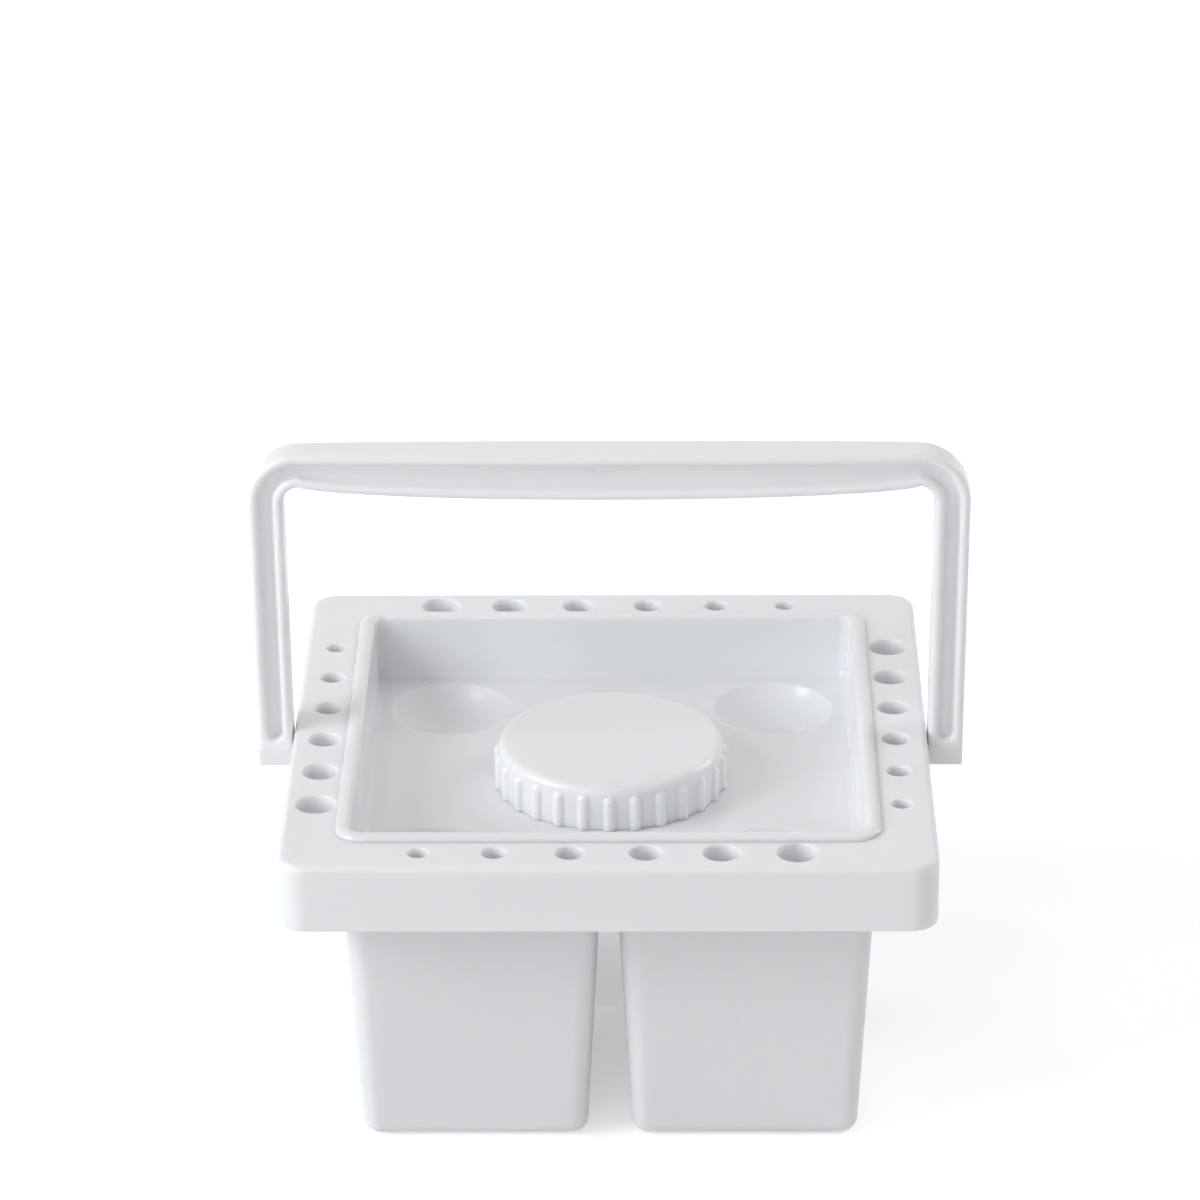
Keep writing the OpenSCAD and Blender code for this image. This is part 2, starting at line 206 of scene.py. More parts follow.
def smooth_finish(piece):
    shape = bmesh.new()
    shape.from_mesh(piece.data)
    bmesh.ops.remove_doubles(shape, verts=shape.verts, dist=weld_distance)
    bmesh.ops.dissolve_degenerate(shape, edges=shape.edges, dist=weld_distance / 2)
    for edge in shape.edges:
        edge.smooth = len(edge.link_faces) == 2 and edge.calc_face_angle(math.pi) < crease_angle
    for face in shape.faces:
        face.smooth = True
    shape.to_mesh(piece.data)
    shape.free()
    weighted = piece.modifiers.new("flat faces stay flat", "WEIGHTED_NORMAL")
    weighted.mode = "FACE_AREA"
    weighted.weight = 90
    weighted.keep_sharp = True
    settle(piece)
    print(solid_facts(piece))
    return piece


# %% [markdown]
# ## Writing node trees
#
# Geometry Nodes make the rows of holes and the grip ribs, and shader nodes make the plastic.
# A tree written node by node gets long, so a few helpers keep the trees readable. They make a
# tree with named inputs, add a node and feed its inputs, and start, end and run a geometry tree.

# %% Helpers for node trees
def new_tree(name, kind, inputs, outputs):
    """A node tree with named sockets. Returns it with the sockets of its input node."""
    tree = bpy.data.node_groups.new(name, kind)
    for label, socket_type in inputs:
        tree.interface.new_socket(label, in_out="INPUT", socket_type=socket_type)
    for label, socket_type in outputs:
        tree.interface.new_socket(label, in_out="OUTPUT", socket_type=socket_type)
    return tree, tree.nodes.new("NodeGroupInput").outputs


def sockets(kind, *labels):
    """The sockets of one kind for a new tree."""
    return [(label, "NodeSocket" + kind) for label in labels]


def feed(tree, node, values):
    """Gives values to a node's inputs. A value is a number, a colour or another socket."""
    for key, value in values.items():
        if isinstance(value, bpy.types.NodeSocket):
            tree.links.new(value, node.inputs[key])
        else:
            node.inputs[key].default_value = value
    return node


def add(tree, kind, values=None, **settings):
    """A new node in the tree, with its settings and its inputs' values."""
    node = tree.nodes.new(kind)
    for key, setting in settings.items():
        setattr(node, key, setting)
    return feed(tree, node, values or {})


def maths(tree, operation, *values):
    """The result of a Math node."""
    return add(tree, "ShaderNodeMath", dict(enumerate(values)), operation=operation).outputs[0]


# %% Helpers for geometry trees
def geometry_tree(name, count, lengths):
    """A tree that works on a geometry, with a count, some lengths and a material."""
    geometry = sockets("Geometry", "Geometry")
    return new_tree(name, "GeometryNodeTree", geometry + sockets("Int", count)
                    + sockets("Float", *lengths) + sockets("Material", "Material"), geometry)


def end_tree(tree, geometry, material):
    """Makes the geometry real, paints it and puts it out."""
    real = add(tree, "GeometryNodeRealizeInstances", {"Geometry": geometry})
    painted = add(tree, "GeometryNodeSetMaterial", {
        "Geometry": real.outputs[0], "Material": material})
    add(tree, "NodeGroupOutput", {"Geometry": painted.outputs[0]})
    return tree


def use_tree(piece, tree, values):
    """Runs a geometry tree on a piece and keeps the result as a plain mesh. The inputs are set
    by each socket's identifier."""
    modifier = piece.modifiers.new(tree.name, "NODES")
    modifier.node_group = tree
    for item in tree.interface.items_tree:
        if item.in_out == "INPUT" and item.name in values:
            modifier[item.identifier] = values[item.name]
    return settle(piece)


# %% [markdown]
# ## The plastic
#
# All the mouldings are glossy white polypropylene. The palette's white is a little brighter, and
# that is painted light: it stands in for the light that bounces round inside the tray. On the
# real object the plastic isn't one flat white. The melt leaves large pale clouds, dust leaves a
# few faint specks, and the mould's steel leaves a very fine grain and a slow waviness that
# bends the reflections. Handling makes some places a little duller. A picture of the surface
# would blur close up, so one shader group makes all these as a colour, a roughness and a
# height, and each moulding's material uses it with values of its own.

# %% Shader group: a moulded skin
def moulded_skin():
    tree, given = new_tree(
        "Moulded skin", "ShaderNodeTree",
        sockets("Color", "Main Color", "Flow Color", "Speck Color")
        + sockets("Vector", "Flow Stretch")
        + sockets("Float", "Flow Scale", "Gloss Low", "Gloss High", "Waviness", "Grain"),
        sockets("Color", "Color") + sockets("Float", "Roughness", "Height"))
    calc = partial(maths, tree)
    place = add(tree, "ShaderNodeTexCoord").outputs["Object"]
    along_flow = add(tree, "ShaderNodeVectorMath", {0: place, 1: given["Flow Stretch"]},
                     operation="MULTIPLY").outputs[0]
    flow = add(tree, "ShaderNodeTexNoise", {
        "Vector": along_flow, "Scale": given["Flow Scale"], "Detail": 1.5,
        "Roughness": 0.4}).outputs["Fac"]
    clouds = add(tree, "ShaderNodeMix", {
        0: flow, 6: given["Main Color"], 7: given["Flow Color"]}, data_type="RGBA").outputs[2]

    cells_per_metre, cells_left_clean = 110.0, 0.93
    cells = add(tree, "ShaderNodeTexVoronoi", {
        "Vector": place, "Scale": cells_per_metre}).outputs
    picked = calc("GREATER_THAN", add(tree, "ShaderNodeSeparateColor", {
        "Color": cells["Color"]}).outputs[0], cells_left_clean)
    dot = add(tree, "ShaderNodeMapRange", {
        "Value": cells["Distance"], "From Min": 0.018, "From Max": 0.05, "To Min": 1.0,
        "To Max": 0.0}).outputs[0]
    color = add(tree, "ShaderNodeMix", {
        0: calc("MULTIPLY", picked, dot), 6: clouds, 7: given["Speck Color"]},
        data_type="RGBA").outputs[2]

    handled = add(tree, "ShaderNodeTexNoise", {
        "Vector": place, "Scale": 26.0, "Detail": 3.0}).outputs["Fac"]
    roughness = add(tree, "ShaderNodeMapRange", {
        "Value": handled, "From Min": 0.3, "From Max": 0.7,
        "To Min": given["Gloss Low"], "To Max": given["Gloss High"]}).outputs[0]
    slow_waves = add(tree, "ShaderNodeTexNoise", {
        "Vector": place, "Scale": 38.0, "Detail": 1.0}).outputs["Fac"]
    fine_grain = add(tree, "ShaderNodeTexNoise", {
        "Vector": place, "Scale": 1400.0, "Detail": 2.0}).outputs["Fac"]
    height = calc("ADD", calc("MULTIPLY", slow_waves, given["Waviness"]),
                  calc("MULTIPLY", fine_grain, given["Grain"]))
    add(tree, "NodeGroupOutput", {"Color": color, "Roughness": roughness, "Height": height})
    return tree


skin_group = moulded_skin()
print("nodes in the skin group:", len(skin_group.nodes))


# %% Material: white plastic for each moulding
flow_shade, speck_shade = 0.975, 0.78
refraction = 1.49
scatter_weight, scatter_depth = 0.5, 0.0035


def plastic(name, main, flow_scale, stretch, gloss, waviness, grain):
    """Glossy plastic. Gloss is a pair of roughness values, and waviness and grain are heights
    in millimetres. The clouds and the specks are a little darker than the main colour."""
    flow = [part * flow_shade for part in main]
    speck = [part * speck_shade for part in main]
    material = bpy.data.materials.new(name)
    material.use_nodes = True
    tree = material.node_tree
    skin = add(tree, "ShaderNodeGroup", {
        "Main Color": (*main, 1), "Flow Color": (*flow, 1), "Speck Color": (*speck, 1),
        "Flow Scale": flow_scale, "Flow Stretch": stretch, "Gloss Low": gloss[0],
        "Gloss High": gloss[1], "Waviness": waviness, "Grain": grain}, node_tree=skin_group)
    bump = add(tree, "ShaderNodeBump", {
        "Strength": 1.0, "Distance": MM, "Height": skin.outputs["Height"]})
    feed(tree, tree.nodes["Principled BSDF"], {
        "IOR": refraction, "Subsurface Weight": scatter_weight,
        "Subsurface Scale": scatter_depth, "Subsurface Radius": (1.0, 0.9, 0.8),
        "Base Color": skin.outputs["Color"], "Roughness": skin.outputs["Roughness"],
        "Normal": bump.outputs[0]})
    return material


# The palette's white is brighter than the tub's as painted light, standing in for the light that
# bounces round inside the tray.
white, lit_palette_white, foam_white = (0.865, 0.875, 0.895), (0.905, 0.915, 0.93), (0.72, 0.73, 0.72)
tub_plastic = plastic("Tub plastic", white, 7.0, (1, 1, 0.35), (0.29, 0.37), 0.06, 0.003)
palette_plastic = plastic(
    "Palette plastic", lit_palette_white, 9.0, (1, 0.5, 1), (0.15, 0.24), 0.01, 0.0005)
cap_plastic = plastic("Cap plastic", white, 12.0, (1, 1, 0.4), (0.15, 0.24), 0.03, 0.002)
handle_plastic = plastic(
    "Handle plastic", white, 10.0, (0.3, 1, 0.6), (0.29, 0.36), 0.05, 0.002)
seal_foam = plastic("Seal foam", foam_white, 90.0, (1, 1, 1), (0.7, 0.85), 0.1, 0.08)
print("materials:", [material.name for material in bpy.data.materials])

# %% [markdown]
# ## The tub: brim and skirt
#
# The brim is a square plate with a round outer edge, and the skirt hangs down from it all
# round. In one loft, the loops start under the plate, run down the inside of the skirt, round
# its foot, up its outside and over the top. Each loop is set in from the outline by a distance,
# and the corner radius shrinks by as much, so that the wall is even round the corners. A hollow
# box with bevels would be thicker there.

# %% Brim and skirt
brim_half, brim_thick, brim_corner, brim_edge = 80, 2.2, 7, 1.6
skirt_foot, skirt_wall = 67.5, 2.2
under_fillet, foot_round = 1, 0.5
plate_under = brim_top - brim_thick


def brim_loop(inset, z):
    return square_loop(brim_half - inset, brim_corner - inset, z)


brim_profile = (
    arc(skirt_wall + under_fillet, plate_under - under_fillet, under_fillet, 90, 180, 4)
    + arc(skirt_wall - foot_round, skirt_foot + foot_round, foot_round, 0, -90, 4)
    + arc(foot_round, skirt_foot + foot_round, foot_round, -90, -180, 4)
    + arc(brim_edge, brim_top - brim_edge, brim_edge, 180, 90, 12))
tub = loft("tub_moulding", [brim_loop(inset, z) for inset, z in brim_profile])
print(solid_facts(tub))

# %% [markdown]
# ## The tub: four water tubs
#
# Each tub is a drafted cup: it narrows by 3 degrees towards the floor, so that it leaves the
# mould. Its corners tighten a little on the way down and its foot is well rounded. The same
# function makes the outside and, with a smaller size, the body that cuts the inside.

# %% Outline of a tub at any height
tub_middle, tub_half = 33.6, 32.5
tub_corner_low, tub_corner_rise, sharpest_corner = 4.3, 0.0195, 0.25
tub_wall, tub_floor, tub_foot_round = 1.8, 2, 4.2


def tub_loop(inset, z, centre, at=None):
    """The outline of a tub at height z, set in by a distance. At gives the height that its
    size is taken from, where that isn't z."""
    level = z if at is None else at
    half = tub_half - draft * (brim_top - level) - inset
    radius = max(tub_corner_low + tub_corner_rise * level - inset, sharpest_corner)
    return square_loop(half, radius, z, centre)


def tub_body(centre):
    """The outside of one tub, up to the middle of the brim's plate."""
    foot = [tub_loop(tub_foot_round - x, z, centre, tub_foot_round)
            for x, z in arc(0, tub_foot_round, tub_foot_round, -90, 0, 10)]
    walls = [tub_loop(0, z, centre) for z in (20, 40, 60, brim_top - brim_thick / 2)]
    return loft("tub_body", foot + walls)


tub_centres = [(x, y) for x in (-tub_middle, tub_middle) for y in (-tub_middle, tub_middle)]
tub_bodies = [tub_body(centre) for centre in tub_centres]
print("tubs:", len(tub_bodies), "at", tub_centres)

# %% The wall that joins the tubs under the brim
crest_top = 65.5
join_inset, join_foot = 0.02, 0.4
join_bottom = crest_top - tub_wall


def join_loop(inset, z):
    half = tub_middle + tub_half - draft * (brim_top - z) - inset
    return square_loop(half, tub_corner_low + tub_corner_rise * z - inset, z)


join_wall = loft("join_wall", [
    join_loop(join_inset + join_foot - x, z)
    for x, z in arc(0, join_bottom + join_foot, join_foot, -90, 0, 4)]
    + [join_loop(join_inset, brim_top - brim_thick / 2)])
print(solid_facts(join_wall))

# %% [markdown]
# ## The tub: bores for the handle
#
# The handle's pins turn in the skirt's two side walls, in plain round bores. The legs stand
# just clear of the skirt, so nothing on it has to keep them off.

# %% Turned bodies on the handle's axis
pivot_height, pin_radius, pin_play = 77.4, 3, 0.05


def on_pivot(name, side, profile, sides=96):
    """A turned body whose axis is the handle's pivot. The profile is (radius, distance out
    from the middle of the washer), and side is -1 or 1."""
    piece = turn_body(name, profile, sides)
    quarter = Matrix.Rotation(side * math.pi / 2, 4, "Y")
    lift = Matrix.Translation((0, 0, pivot_height * MM))
    piece.data.transform(lift @ quarter)
    return piece


pin_bores = [on_pivot("pin_bore", side, [(pin_radius + pin_play, brim_half + past)
                                         for past in (-4, 2)]) for side in (-1, 1)]
combine(tub, tub_bodies + [join_wall], "UNION")
print(solid_facts(tub))

# %% [markdown]
# ## The tub: rows of holes, made by Geometry Nodes
#
# Six round holes stand along each side of the brim, and each is a little larger than the one
# before it, the same way round on all four sides. Under the brim a short sleeve goes on round
# each hole. This is a rule, so it is a geometry tree: one row of points with a radius on each,
# four turned copies of the row, and on every point one sleeve and one cutting body. The cutting
# body opens like a trumpet at its top, which leaves a soft round edge on the hole.

# %% Geometry tree: rows of holes
def holes_tree():
    labels = ("Pitch", "Distance Out", "Top Height", "Small Radius", "Large Radius",
              "Round Edge", "Flare Depth", "Sleeve Wall", "Sleeve Length", "Plate Thickness")
    tree, given = geometry_tree("Rows of holes", "Holes per Side", labels)
    calc = partial(maths, tree)

    last = calc("SUBTRACT", given["Holes per Side"], 1.0)
    start = add(tree, "ShaderNodeCombineXYZ", {
        "X": calc("MULTIPLY", calc("MULTIPLY", last, given["Pitch"]), -0.5),
        "Y": calc("MULTIPLY", given["Distance Out"], -1.0), "Z": given["Top Height"]})
    pitch = add(tree, "ShaderNodeCombineXYZ", {"X": given["Pitch"]})
    row = add(tree, "GeometryNodeMeshLine", {
        "Count": given["Holes per Side"], "Start Location": start.outputs[0],
        "Offset": pitch.outputs[0]})
    number = add(tree, "GeometryNodeInputIndex").outputs[0]
    radius = add(tree, "ShaderNodeMapRange", {
        "Value": number, "From Max": last, "To Min": given["Small Radius"],
        "To Max": given["Large Radius"]}).outputs[0]
    sized = add(tree, "GeometryNodeStoreNamedAttribute", {
        "Geometry": row.outputs[0], "Name": "hole radius", "Value": radius}, data_type="FLOAT")
    sides = add(tree, "GeometryNodeMeshLine", {"Count": 4, "Offset": (0.0, 0.0, 0.0)})
    turn = add(tree, "ShaderNodeCombineXYZ", {"Z": calc("MULTIPLY", number, math.pi / 2)})
    rows = add(tree, "GeometryNodeInstanceOnPoints", {
        "Points": sides.outputs[0], "Instance": sized.outputs[0], "Rotation": turn.outputs[0]})
    places = add(tree, "GeometryNodeRealizeInstances", {"Geometry": rows.outputs[0]}).outputs[0]
    hole_radius = add(tree, "GeometryNodeInputNamedAttribute", {"Name": "hole radius"},
                      data_type="FLOAT").outputs[0]

    def shaped_at_holes(segments, radius_at, height_at):
        """A cylinder at each hole. The two functions turn the level of a ring, counted from 0
        at the bottom, into its radius and its height."""
        drum = add(tree, "GeometryNodeMeshCylinder", {
            "Vertices": 64, "Side Segments": segments, "Radius": 1.0, "Depth": 1.0})
        position = add(tree, "GeometryNodeInputPosition").outputs[0]
        kept = add(tree, "GeometryNodeStoreNamedAttribute", {
            "Geometry": drum.outputs[0], "Name": "own place", "Value": position},
            data_type="FLOAT_VECTOR")
        placed = add(tree, "GeometryNodeInstanceOnPoints", {
            "Points": places, "Instance": kept.outputs[0]})
        real = add(tree, "GeometryNodeRealizeInstances", {"Geometry": placed.outputs[0]})
        own = add(tree, "GeometryNodeInputNamedAttribute", {"Name": "own place"},
                  data_type="FLOAT_VECTOR").outputs[0]
        parts = add(tree, "ShaderNodeSeparateXYZ", {0: own}).outputs
        level = calc("MULTIPLY", calc("ADD", parts["Z"], 0.5), float(segments))
        ring_radius, ring_height = radius_at(level), height_at(level)
        target = add(tree, "ShaderNodeCombineXYZ", {
            "X": calc("MULTIPLY", parts["X"], ring_radius),
            "Y": calc("MULTIPLY", parts["Y"], ring_radius), "Z": ring_height})
        shift = add(tree, "ShaderNodeVectorMath", {0: target.outputs[0], 1: own},
                    operation="SUBTRACT")
        return add(tree, "GeometryNodeSetPosition", {
            "Geometry": real.outputs[0], "Offset": shift.outputs[0]}).outputs[0]

    def pick(level, limit, above, below):
        """Above where the level is more than the limit, below elsewhere."""
        chosen = calc("GREATER_THAN", level, limit)
        return add(tree, "ShaderNodeMix", {0: chosen, 2: below, 3: above}).outputs[0]

    sleeve_low = calc("MULTIPLY", given["Sleeve Length"], -1.0)
    sleeve_chamfer = 0.3 * MM
    sleeve_radius = calc("ADD", hole_radius, given["Sleeve Wall"])
    sleeves = shaped_at_holes(
        2,
        lambda level: pick(level, 0.5, sleeve_radius,
                           calc("SUBTRACT", sleeve_radius, sleeve_chamfer)),
        lambda level: pick(level, 1.5, calc("MULTIPLY", given["Plate Thickness"], -0.5),
                           pick(level, 0.5, calc("ADD", sleeve_low, sleeve_chamfer),
                                sleeve_low)))

    rings = 12
    clear = 1.0 * MM

    def flare_angle(level):
        share = calc("DIVIDE", calc("SUBTRACT", level, 1.0), rings - 2.0)
        bounded = add(tree, "ShaderNodeClamp", {"Value": share}).outputs[0]
        return calc("MULTIPLY", bounded, math.pi / 2)

    def flare_radius(level):
        opened = calc("SUBTRACT", 1.0, calc("COSINE", flare_angle(level)))
        return calc("MULTIPLY_ADD", opened, given["Round Edge"], hole_radius)

    def flare_height(level):
        sunk = calc("SUBTRACT", calc("SINE", flare_angle(level)), 1.0)
        arc_height = calc("MULTIPLY_ADD", sunk, given["Flare Depth"], proud * MM)
        low = calc("SUBTRACT", sleeve_low, clear)
        return pick(level, rings - 0.5, clear, pick(level, 0.5, arc_height, low))

    cutters = shaped_at_holes(rings, flare_radius, flare_height)
    joined = add(tree, "GeometryNodeMeshBoolean", {"Mesh 2": sleeves}, operation="UNION",
                 solver="MANIFOLD")
    tree.links.new(given["Geometry"], joined.inputs["Mesh 2"])
    pierced = add(tree, "GeometryNodeMeshBoolean", {
        "Mesh 1": joined.outputs[0], "Mesh 2": cutters}, operation="DIFFERENCE",
        solver="MANIFOLD")
    clean = pierced.outputs[0]
    for label in ("own place", "hole radius"):
        clean = add(tree, "GeometryNodeRemoveAttribute", {
            "Geometry": clean, "Name": label}).outputs[0]
    return end_tree(tree, clean, given["Material"])


# %% Pierce the brim
hole_count, hole_pitch, hole_out = 6, 18.3, 72
hole_small, hole_large = 2.4, 4.8
hole_edge, hole_flare = 0.45, 1.4
sleeve_wall, sleeve_length = 1.2, 12
use_tree(tub, holes_tree(), {
    "Holes per Side": hole_count, "Pitch": hole_pitch * MM, "Distance Out": hole_out * MM,
    "Top Height": brim_top * MM, "Small Radius": hole_small * MM,
    "Large Radius": hole_large * MM, "Round Edge": hole_edge * MM,
    "Flare Depth": hole_flare * MM, "Sleeve Wall": sleeve_wall * MM,
    "Sleeve Length": sleeve_length * MM, "Plate Thickness": brim_thick * MM,
    "Material": tub_plastic})
print(solid_facts(tub))

# %% [markdown]
# ## The tub: the insides
#
# One drafted opening goes down through the brim, and four cavities go on below it. The low
# dividers between the cavities have round crests, so each cavity opens a little wider at its
# top, but only towards the dividers: where it would cut into the outer wall it is held back.

# %% The opening and the four cavities
opening_half, opening_corner, opening_edge = 64.3, 4.8, 0.6
crest_round = 0.8


def opening_loop(spread, z, at=None):
    level = z if at is None else at
    shrink = draft * (brim_top - level)
    return square_loop(opening_half - shrink + spread, opening_corner - shrink + spread, z)


def held_inside(point, half, radius):
    """The point, moved in to the edge of a rounded square if it is outside it."""
    axis = half - radius
    near = [max(-axis, min(axis, value)) for value in point[:2]]
    reach = math.hypot(point[0] - near[0], point[1] - near[1])
    share = min(1, radius / reach) if reach > 0 else 1
    return (*(base + (value - base) * share for base, value in zip(near, point)), point[2])


def held_loop(loop, at, margin=0):
    """The loop, held inside the opening's wall at a height."""
    shrink = draft * (brim_top - at) + margin
    return [held_inside(point, opening_half - shrink, opening_corner - shrink) for point in loop]


def cavity_body(centre):
    fillet = tub_foot_round - tub_wall + 0.2
    low = tub_floor + fillet
    loops = [tub_loop(tub_wall + fillet - x, z, centre, low)
             for x, z in arc(0, low, fillet, -90, 0, 8)]
    loops += [tub_loop(tub_wall, z, centre) for z in (20, 40, 56)]
    for x, z in arc(crest_round, crest_top - crest_round, crest_round, 180, 90, 6):
        loops.append(held_loop(tub_loop(tub_wall - x, z, centre), z))
    above = [(x, y, crest_top + 1) for x, y, z in loops[-1]]
    return loft("cavity", loops + [held_loop(above, crest_top + 1, 0.2)])


opening_profile = [(0, crest_top), (0, 75)] + arc(
    opening_edge, brim_top - opening_edge, opening_edge, 180, 90, 6)
opening = loft("opening", [opening_loop(spread, z + proud) for spread, z in opening_profile]
               + [opening_loop(opening_edge, brim_top + 1, brim_top)])
combine(tub, [opening] + [cavity_body(centre) for centre in tub_centres] + pin_bores,
        "DIFFERENCE")
smooth_finish(tub)

# %% [markdown]
# ## The palette lid: tray and lip
#
# The tray drops into the opening and hangs on its lip, a round bead that lies on the brim. It
# is one loft again: under the floor, up the outside, over the lip, down the inside and in over
# the floor, with a fillet wherever the wall meets the floor.

# %% Tray and lip
palette_floor, palette_under = 69, 67.5
palette_half, palette_corner, palette_wall, palette_fillet = 64, 4.5, 1.4, 2.2
lip_half, lip_corner, lip_width, lip_height = 66.6, 7.1, 4, 1.4
lip_fullness = 0.9


def tray_loop(inset, z, at=None):
    level = z if at is None else at
    shrink = draft * (brim_top - level) + inset
    return square_loop(palette_half - shrink, palette_corner - shrink, z)


def lip_loop(inset, z):
    return square_loop(lip_half - inset, lip_corner - inset, z)


outer_fillet = palette_fillet + palette_wall
outer_low = palette_under + outer_fillet
inner_low = palette_floor + palette_fillet
lip_bead = [(lip_width / 2 * (1 - math.copysign(abs(math.cos(a)) ** lip_fullness, math.cos(a))),
             brim_top + lip_height * math.sin(a) ** lip_fullness)
            for a in (math.pi * i / 18 for i in range(19))]
tray_loops = [tray_loop(outer_fillet - x, z, outer_low)
              for x, z in arc(0, outer_low, outer_fillet, -90, 0, 8)]
tray_loops += [tray_loop(0, z) for z in (77, brim_top)]
tray_loops += [lip_loop(x, z) for x, z in lip_bead]
tray_loops += [tray_loop(palette_wall, z) for z in (83, 77)]
tray_loops += [tray_loop(palette_wall + palette_fillet - x, z, inner_low)
               for x, z in arc(0, inner_low, palette_fillet, 0, -90, 8)]
palette = loft("palette_moulding", tray_loops)
print(solid_facts(palette))

# %% [markdown]
# ## The palette lid: wells, neck and thread
#
# A well is a shallow bowl, part of a ball, with a round rim. The rim's arc has to touch both
# the ball and the flat floor, so its centre is worked out from the two distances. The floor
# keeps its thickness, so a larger bowl is added underneath first.

# %% Wells
well_out, well_radius, well_depth, well_edge = 42, 15.6, 4.5, 0.6
near_axis, under_overlap = -89.4, 0.4
ball = (well_radius ** 2 + well_depth ** 2) / (2 * well_depth)
ball_height = palette_floor - well_depth + ball
rim_out = math.sqrt((ball + well_edge) ** 2 - (ball_height - palette_floor + well_edge) ** 2)
rim_lean = math.degrees(math.atan2(rim_out, ball_height - palette_floor + well_edge))
well_centres = [(x, y) for x in (-well_out, well_out) for y in (-well_out, well_out)]
bowl_profile = (arc(0, ball_height, ball, near_axis, rim_lean - 90, 18)
                + arc(rim_out, palette_floor - well_edge + proud, well_edge,
                      90 + rim_lean, 90, 7)[1:] + [(rim_out, palette_floor + 1)])
under_ball = ball + palette_floor - palette_under
under_lean = math.degrees(math.acos((ball_height - palette_under - under_overlap) / under_ball))
under_profile = arc(0, ball_height, under_ball, near_axis, under_lean - 90, 16)
under_bowls = [turn_body("under_bowl", under_profile, 120, centre) for centre in well_centres]
bowls = [turn_body("bowl", bowl_profile, 120, centre) for centre in well_centres]
print(f"wells: parts of a ball of radius {ball:.1f} mm, rims {rim_out:.1f} mm from their axes")

# %% Thread ridges
thread_pitch, thread_start = 4, 71.8
thread_height, thread_root, thread_crest = 1.1, 1.8, 0.9


def thread_ridge(name, wall, out, start_angle, sweep, height):
    """A ridge that climbs round a wall of this radius. Out is 1 on an outer wall and -1 in a
    bore. It fades away over its first and last 25 degrees."""
    fade, sunk, soft, smallest, degrees_a_step = 25, 0.3, 0.15, 0.08, 5
    root, crest = thread_root / 2, thread_crest / 2
    loops = []
    for gone in range(0, sweep + 1, degrees_a_step):
        angle = math.radians(start_angle + gone)
        size = max(smallest, min(1, gone / fade, (sweep - gone) / fade))
        middle = height + thread_pitch * (start_angle + gone) / 360
        top, shoulder = thread_height * size, (thread_height - soft) * size
        section = [(-sunk, -root), (0, -root), (shoulder, -crest - soft / 2),
                   (top, -crest + soft), (top, crest - soft),
                   (shoulder, crest + soft / 2), (0, root), (-sunk, root)]
        loops.append([((wall + out * rise) * math.cos(angle), (wall + out * rise)
                       * math.sin(angle), middle + along) for rise, along in section])
    return loft(name, loops)


# %% Neck, and the finished lid
neck_radius, neck_bore, neck_top, neck_edge = 25.4, 23.2, 77.3, 0.4
neck = turn_body("neck", [(neck_radius, palette_under + 0.5)]
                 + arc(neck_radius - neck_edge, neck_top - neck_edge, neck_edge, 0, 90, 4))
neck_hole = turn_body("neck_hole", [(neck_bore, palette_under - 2)]
                      + arc(neck_bore + neck_edge, neck_top - neck_edge + proud, neck_edge,
                            180, 90, 4)
                      + [(neck_bore + neck_edge, neck_top + 2)])
combine(palette, under_bowls + [neck], "UNION")
combine(palette, bowls + [neck_hole], "DIFFERENCE")
combine(palette, [thread_ridge("neck_thread", neck_radius, 1, 0, 360, thread_start)], "UNION")
paint(palette, palette_plastic)
smooth_finish(palette)

# %% [markdown]
# ## The screw cap: grip ribs by Geometry Nodes
#
# The cap's ribs are round bars that stand out of its wall, with ball-shaped upper ends. They
# repeat evenly, so a tree lifts the points of a plain turned wall: each point's angle is folded
# into one rib's share of the circle, the height of the round bar is worked out there, and a
# smooth maximum joins bar and wall with a small fillet.

# %% Geometry tree: grip ribs
def ribs_tree():
    labels = ("Wall Radius", "Rib Radius", "Rib Rise", "Rib End Height", "Fillet")
    tree, given = geometry_tree("Grip ribs", "Ribs", labels)
    calc = partial(maths, tree)

    def squared(value):
        return calc("MULTIPLY", value, value)

    place = add(tree, "GeometryNodeInputPosition").outputs[0]
    parts = add(tree, "ShaderNodeSeparateXYZ", {0: place}).outputs
    angle = calc("ARCTAN2", parts["X"], calc("MULTIPLY", parts["Y"], -1.0))
    share = calc("DIVIDE", math.tau, given["Ribs"])
    folded = calc("PINGPONG", angle, calc("MULTIPLY", share, 0.5))
    wall = calc("SQRT", calc("ADD", squared(parts["X"]), squared(parts["Y"])))
    bar_out = calc("SUBTRACT", calc("ADD", given["Wall Radius"], given["Rib Rise"]),
                   given["Rib Radius"])
    past_end = calc("MAXIMUM", calc("SUBTRACT", parts["Z"], given["Rib End Height"]), 0.0)
    across = calc("MULTIPLY", bar_out, calc("SINE", folded))
    left = calc("SUBTRACT", squared(given["Rib Radius"]),
                calc("ADD", squared(past_end), squared(across)))
    bar = calc("ADD", calc("MULTIPLY", bar_out, calc("COSINE", folded)),
               calc("SQRT", calc("MAXIMUM", left, 0.0)))
    lifted = calc("SMOOTH_MAX", wall, bar, given["Fillet"])
    grown = add(tree, "ShaderNodeVectorMath", {
        0: add(tree, "ShaderNodeCombineXYZ", {"X": parts["X"], "Y": parts["Y"]}).outputs[0],
        "Scale": calc("SUBTRACT", calc("DIVIDE", lifted, wall), 1.0)},
        operation="SCALE")
    same_radius = 0.02 * MM
    on_wall = calc("COMPARE", wall, given["Wall Radius"], same_radius)
    moved = add(tree, "GeometryNodeSetPosition", {
        "Geometry": given["Geometry"], "Selection": on_wall, "Offset": grown.outputs[0]})
    return end_tree(tree, moved.outputs[0], given["Material"])


